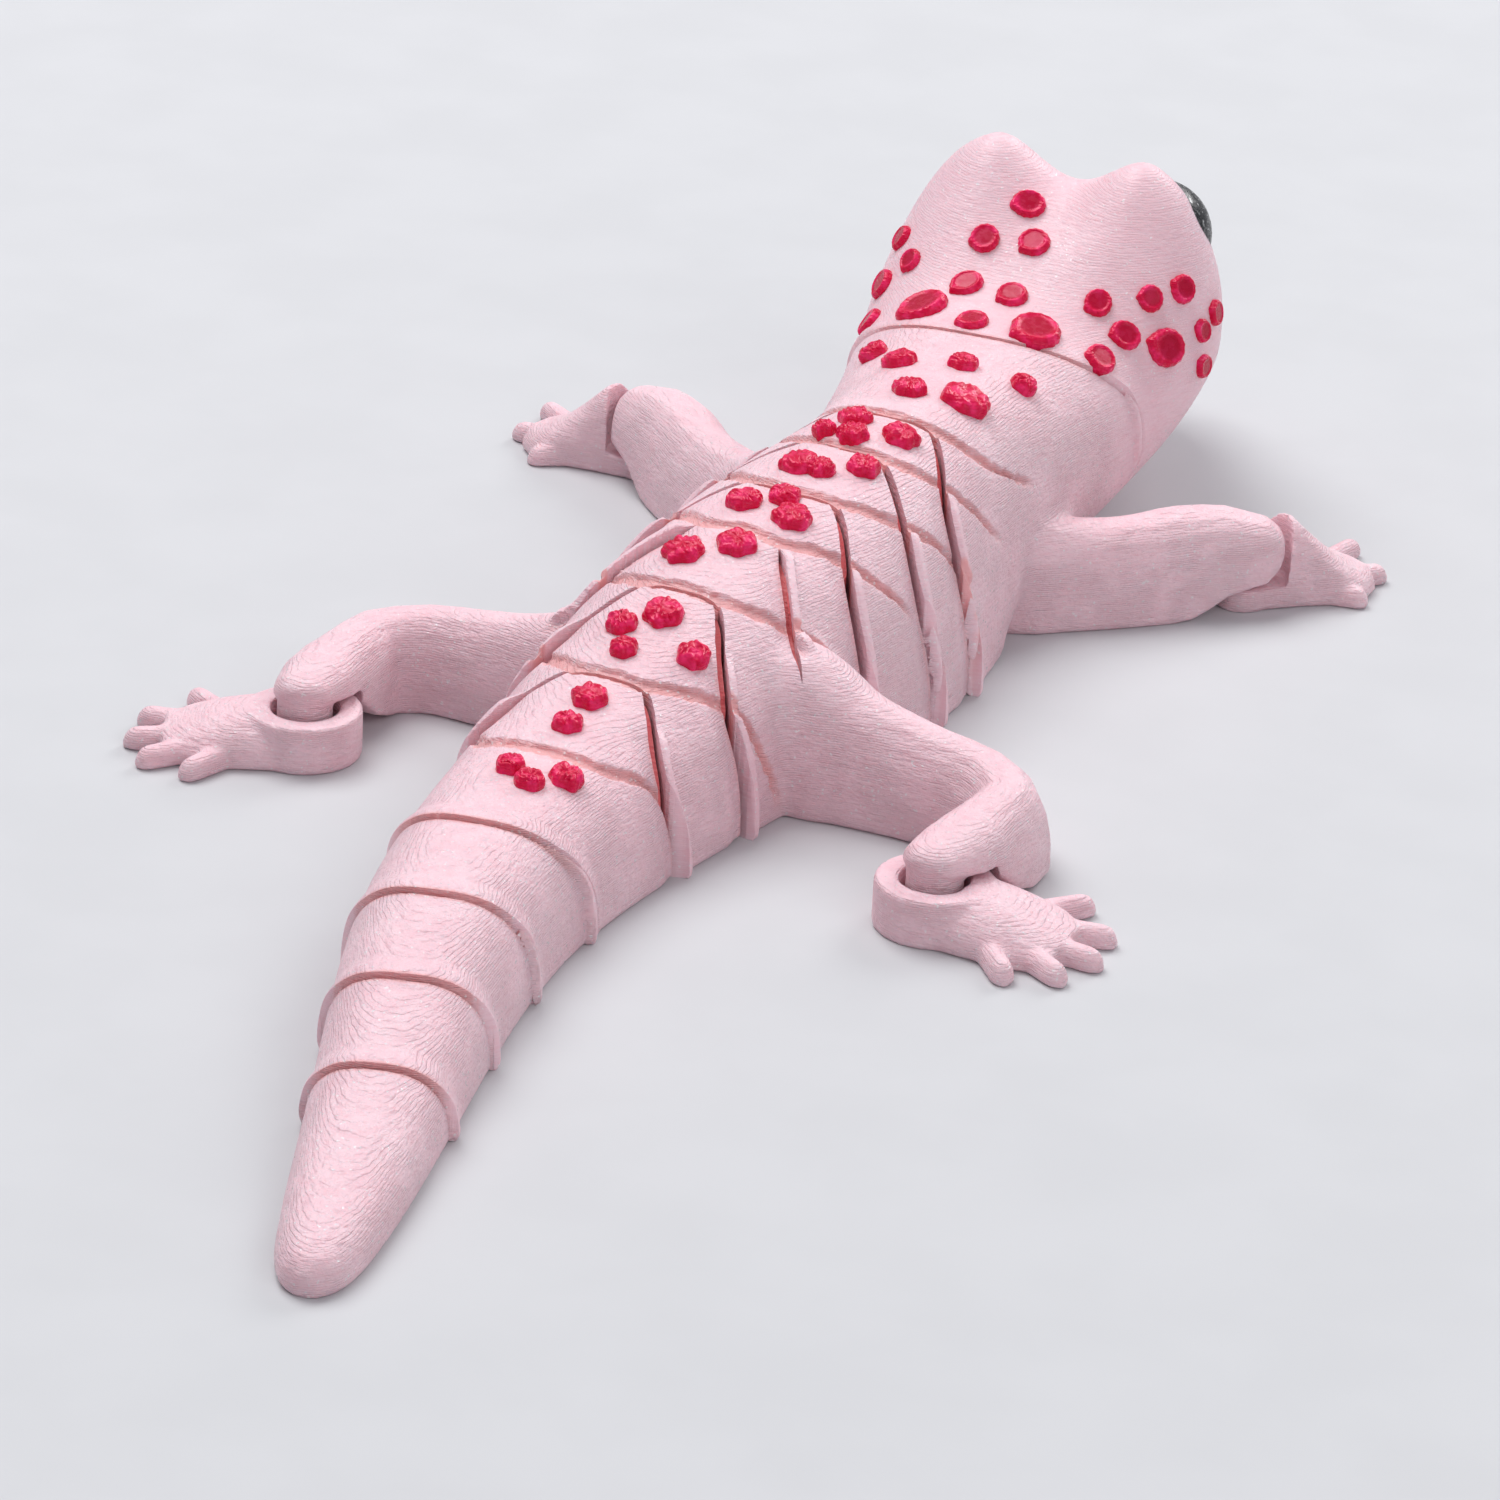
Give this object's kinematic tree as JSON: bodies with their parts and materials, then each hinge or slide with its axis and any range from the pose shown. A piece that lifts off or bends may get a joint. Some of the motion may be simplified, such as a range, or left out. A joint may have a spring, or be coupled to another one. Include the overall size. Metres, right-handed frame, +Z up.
{
  "type": "articulated toy gecko",
  "caption": "Printed print-in-place toy gecko in pale pink plastic with raised magenta spots; tail and trunk links, head and feet turn on upright hinges.",
  "frame": {"origin": "on the floor under the middle of the model's plan extent", "axes": "+Y from tail to head, +X to the toy's right, +Z up"},
  "size_m": [0.1048, 0.2256, 0.0383],
  "materials": {
    "pink_plastic": "pale pink print with fine layer lines and a faint sparkle",
    "spot_plastic": "silky magenta",
    "eye_plastic": "dark glitter"
  },
  "bodies": {
    "hips": {"hips": "pink_plastic", "leg_hind_left": "pink_plastic", "leg_hind_right": "pink_plastic"},
    "shoulders": {"shoulders": "pink_plastic", "neck": "pink_plastic", "leg_front_left": "pink_plastic", "leg_front_right": "pink_plastic"},
    "head": {"head": "pink_plastic", "eye_left": "eye_plastic", "eye_right": "eye_plastic"},
    "rump": {"rump": "pink_plastic"},
    "tail_1": {"tail_1": "pink_plastic"},
    "tail_2": {"tail_2": "pink_plastic"},
    "tail_3": {"tail_3": "pink_plastic"},
    "tail_4": {"tail_4": "pink_plastic"},
    "tail_tip": {"tail_tip": "pink_plastic"},
    "belly": {"belly": "pink_plastic"},
    "chest": {"chest": "pink_plastic"},
    "foot_hind_left": {"foot_hind_left": "pink_plastic"},
    "foot_hind_right": {"foot_hind_right": "pink_plastic"},
    "foot_front_left": {"foot_front_left": "pink_plastic"},
    "foot_front_right": {"foot_front_right": "pink_plastic"}
  },
  "joints": [
    {"name": "rump_hinge", "type": "hinge", "parent": "hips", "child": "rump", "pos_m": [-0.00159, -0.01177, 0], "axis": [0, 0, 1], "range_deg": [-2, 2]},
    {"name": "tail_1_hinge", "type": "hinge", "parent": "rump", "child": "tail_1", "pos_m": [-0.00273, -0.02572, 0], "axis": [0, 0, 1], "range_deg": [-2, 2]},
    {"name": "tail_2_hinge", "type": "hinge", "parent": "tail_1", "child": "tail_2", "pos_m": [-0.00373, -0.03526, 0], "axis": [0, 0, 1], "range_deg": [-10, 10]},
    {"name": "tail_3_hinge", "type": "hinge", "parent": "tail_2", "child": "tail_3", "pos_m": [-0.00285, -0.04888, 0], "axis": [0, 0, 1], "range_deg": [-10, 10]},
    {"name": "tail_4_hinge", "type": "hinge", "parent": "tail_3", "child": "tail_4", "pos_m": [-0.00048, -0.06096, 0], "axis": [0, 0, 1], "range_deg": [-10, 10]},
    {"name": "tail_tip_hinge", "type": "hinge", "parent": "tail_4", "child": "tail_tip", "pos_m": [0.00151, -0.0683, 0], "axis": [0, 0, 1], "range_deg": [-12, 12]},
    {"name": "belly_hinge", "type": "hinge", "parent": "hips", "child": "belly", "pos_m": [0.00085, 0.00909, 0], "axis": [0, 0, 1], "range_deg": [-2, 2]},
    {"name": "chest_hinge", "type": "hinge", "parent": "belly", "child": "chest", "pos_m": [0.00265, 0.02096, 0], "axis": [0, 0, 1], "range_deg": [-2, 2]},
    {"name": "shoulders_hinge", "type": "hinge", "parent": "chest", "child": "shoulders", "pos_m": [0.00392, 0.02987, 0], "axis": [0, 0, 1], "range_deg": [-2, 2]},
    {"name": "head_hinge", "type": "hinge", "parent": "shoulders", "child": "head", "pos_m": [0.00541, 0.087, 0], "axis": [0, 0, 1], "range_deg": [-12, 12]},
    {"name": "foot_hind_left_hinge", "type": "hinge", "parent": "hips", "child": "foot_hind_left", "pos_m": [-0.03474, -0.01627, 0], "axis": [0, 0, 1], "range_deg": [-15, 20]},
    {"name": "foot_hind_right_hinge", "type": "hinge", "parent": "hips", "child": "foot_hind_right", "pos_m": [0.03451, -0.0233, 0], "axis": [0, 0, 1], "range_deg": [-30, 3]},
    {"name": "foot_front_left_hinge", "type": "hinge", "parent": "shoulders", "child": "foot_front_left", "pos_m": [-0.03276, 0.06643, 0], "axis": [0, 0, 1], "range_deg": [-25, 20]},
    {"name": "foot_front_right_hinge", "type": "hinge", "parent": "shoulders", "child": "foot_front_right", "pos_m": [0.03698, 0.06348, 0], "axis": [0, 0, 1], "range_deg": [-40, 5]}
  ]
}
